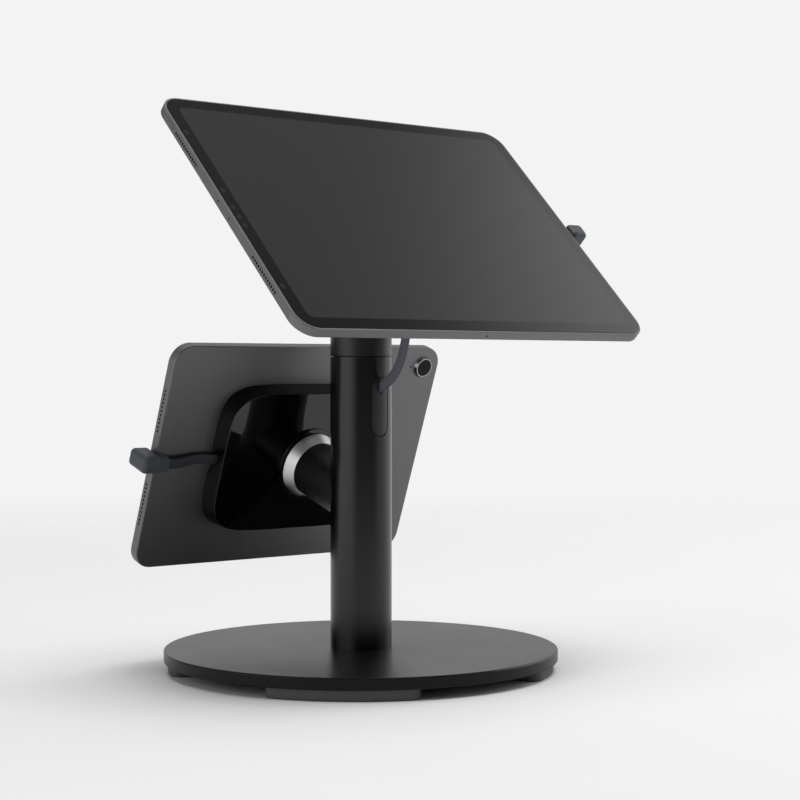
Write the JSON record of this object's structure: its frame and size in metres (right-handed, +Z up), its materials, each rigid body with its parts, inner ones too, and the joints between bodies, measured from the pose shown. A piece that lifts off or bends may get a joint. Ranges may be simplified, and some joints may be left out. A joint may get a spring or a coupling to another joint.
{
  "type": "tablet kiosk stand",
  "caption": "Counter stand with a round weighted base and column that holds a tablet on each side by swivelling mounts, one on an angled arm that turns at a seam.",
  "frame": {"origin": "on the counter, on the column's axis", "axes": "+Z up along the column, -Y the way the front tablet faces, +Y the way the rear tablet faces, +X to the right of someone facing +Y"},
  "size_m": [0.2617, 0.224, 0.3167],
  "materials": {
    "black_rubber": "matte moulded rubber",
    "satin_black_enamel": "satin black powder coat on steel",
    "matte_black_enamel": "matte black powder coat on steel",
    "black_moulding": "satin moulded plastic",
    "plain_steel": "zinc plated steel",
    "slide_washer": "low-friction plastic washer",
    "cable_jacket": "flat cable, dark slate jacket",
    "adhesive_foam": "adhesive foam sheet",
    "gloss_black_moulding": "gloss black moulded plastic",
    "board_green": "printed circuit board",
    "anodised_aluminium": "bead-blasted grey anodised aluminium",
    "bright_aluminium": "polished aluminium",
    "satin_aluminium": "turned satin aluminium",
    "cover_glass": "black-backed cover glass",
    "lens_glass": "dark camera glass",
    "display_dark": "display that is switched off",
    "cell_pouch": "battery pouch",
    "plug_moulding": "moulded plug, dark slate",
    "plug_metal": "stainless steel plug tongue"
  },
  "bodies": {
    "stand": {"rubber_feet": "black_rubber", "base_plate": "satin_black_enamel", "column_foot_plug": "plain_steel", "base_washer": "plain_steel", "base_nut": "plain_steel", "column_tube": "satin_black_enamel", "slot_cover": "black_moulding", "swivel_post": "plain_steel", "swivel_washer": "slide_washer", "rear_arm": "matte_black_enamel", "rear_pivot_tube": "plain_steel", "rear_retaining_ring": "plain_steel", "rear_swivel_ring": "satin_aluminium", "supply_cable": "cable_jacket", "column_cable": "cable_jacket"},
    "head": {"head_elbow": "matte_black_enamel", "swivel_screw": "plain_steel", "arm_grommet": "black_rubber", "front_pivot_tube": "plain_steel", "front_retaining_ring": "plain_steel", "front_swivel_ring": "satin_aluminium"},
    "front_mount": {"front_pivot_hub": "plain_steel", "front_mount_plate": "plain_steel", "front_bond_pad": "adhesive_foam", "front_mount_housing": "gloss_black_moulding", "front_housing_screws": "plain_steel", "front_charge_board": "board_green", "front_tablet_case": "anodised_aluminium", "front_tablet_glass": "cover_glass", "front_display_panel": "display_dark", "front_battery": "cell_pouch", "front_logic_board": "board_green", "front_camera_ring": "bright_aluminium", "front_camera_lens": "lens_glass", "front_plug_head": "plug_moulding", "front_plug_shell": "plug_metal", "front_plug_lead": "cable_jacket"},
    "rear_mount": {"rear_pivot_hub": "plain_steel", "rear_mount_plate": "plain_steel", "rear_bond_pad": "adhesive_foam", "rear_mount_housing": "gloss_black_moulding", "rear_housing_screws": "plain_steel", "rear_charge_board": "board_green", "rear_tablet_case": "anodised_aluminium", "rear_tablet_glass": "cover_glass", "rear_display_panel": "display_dark", "rear_battery": "cell_pouch", "rear_logic_board": "board_green", "rear_camera_ring": "bright_aluminium", "rear_camera_lens": "lens_glass", "rear_plug_head": "plug_moulding", "rear_plug_shell": "plug_metal", "rear_plug_lead": "cable_jacket"},
    "front_top_button": {"front_top_button": "anodised_aluminium"},
    "front_volume_up_button": {"front_volume_up_button": "anodised_aluminium"},
    "front_volume_down_button": {"front_volume_down_button": "anodised_aluminium"},
    "rear_top_button": {"rear_top_button": "anodised_aluminium"},
    "rear_volume_up_button": {"rear_volume_up_button": "anodised_aluminium"},
    "rear_volume_down_button": {"rear_volume_down_button": "anodised_aluminium"}
  },
  "joints": [
    {"name": "head_swivel", "type": "hinge", "parent": "stand", "child": "head", "pos_m": [0, 0, 0.1776], "axis": [0, 0, 1], "range_deg": [-30, 30], "deforming": ["column_cable"]},
    {"name": "front_mount_spin", "type": "hinge", "parent": "head", "child": "front_mount", "pos_m": [0, -0.0433, 0.2537], "axis": [0, -0.7071, 0.7071], "range_deg": [-90, 90]},
    {"name": "rear_mount_spin", "type": "hinge", "parent": "stand", "child": "rear_mount", "pos_m": [0, 0.0691, 0.12235], "axis": [0, 0.9397, 0.342], "range_deg": [-90, 90]},
    {"name": "front_top_button_press", "type": "slide", "parent": "front_mount", "child": "front_top_button", "axis": [1, 0, 0], "range_m": [0, 0.0004], "stiffness_N_per_m": 800},
    {"name": "front_volume_up_button_press", "type": "slide", "parent": "front_mount", "child": "front_volume_up_button", "axis": [0, -0.7071, -0.7071], "range_m": [0, 0.0004], "stiffness_N_per_m": 800},
    {"name": "front_volume_down_button_press", "type": "slide", "parent": "front_mount", "child": "front_volume_down_button", "axis": [0, -0.7071, -0.7071], "range_m": [0, 0.0004], "stiffness_N_per_m": 800},
    {"name": "rear_top_button_press", "type": "slide", "parent": "rear_mount", "child": "rear_top_button", "axis": [-1, 0, 0], "range_m": [0, 0.0004], "stiffness_N_per_m": 800},
    {"name": "rear_volume_up_button_press", "type": "slide", "parent": "rear_mount", "child": "rear_volume_up_button", "axis": [-1, 0, 0], "range_m": [0, 0.0004], "stiffness_N_per_m": 800},
    {"name": "rear_volume_down_button_press", "type": "slide", "parent": "rear_mount", "child": "rear_volume_down_button", "axis": [-1, 0, 0], "range_m": [0, 0.0004], "stiffness_N_per_m": 800}
  ]
}
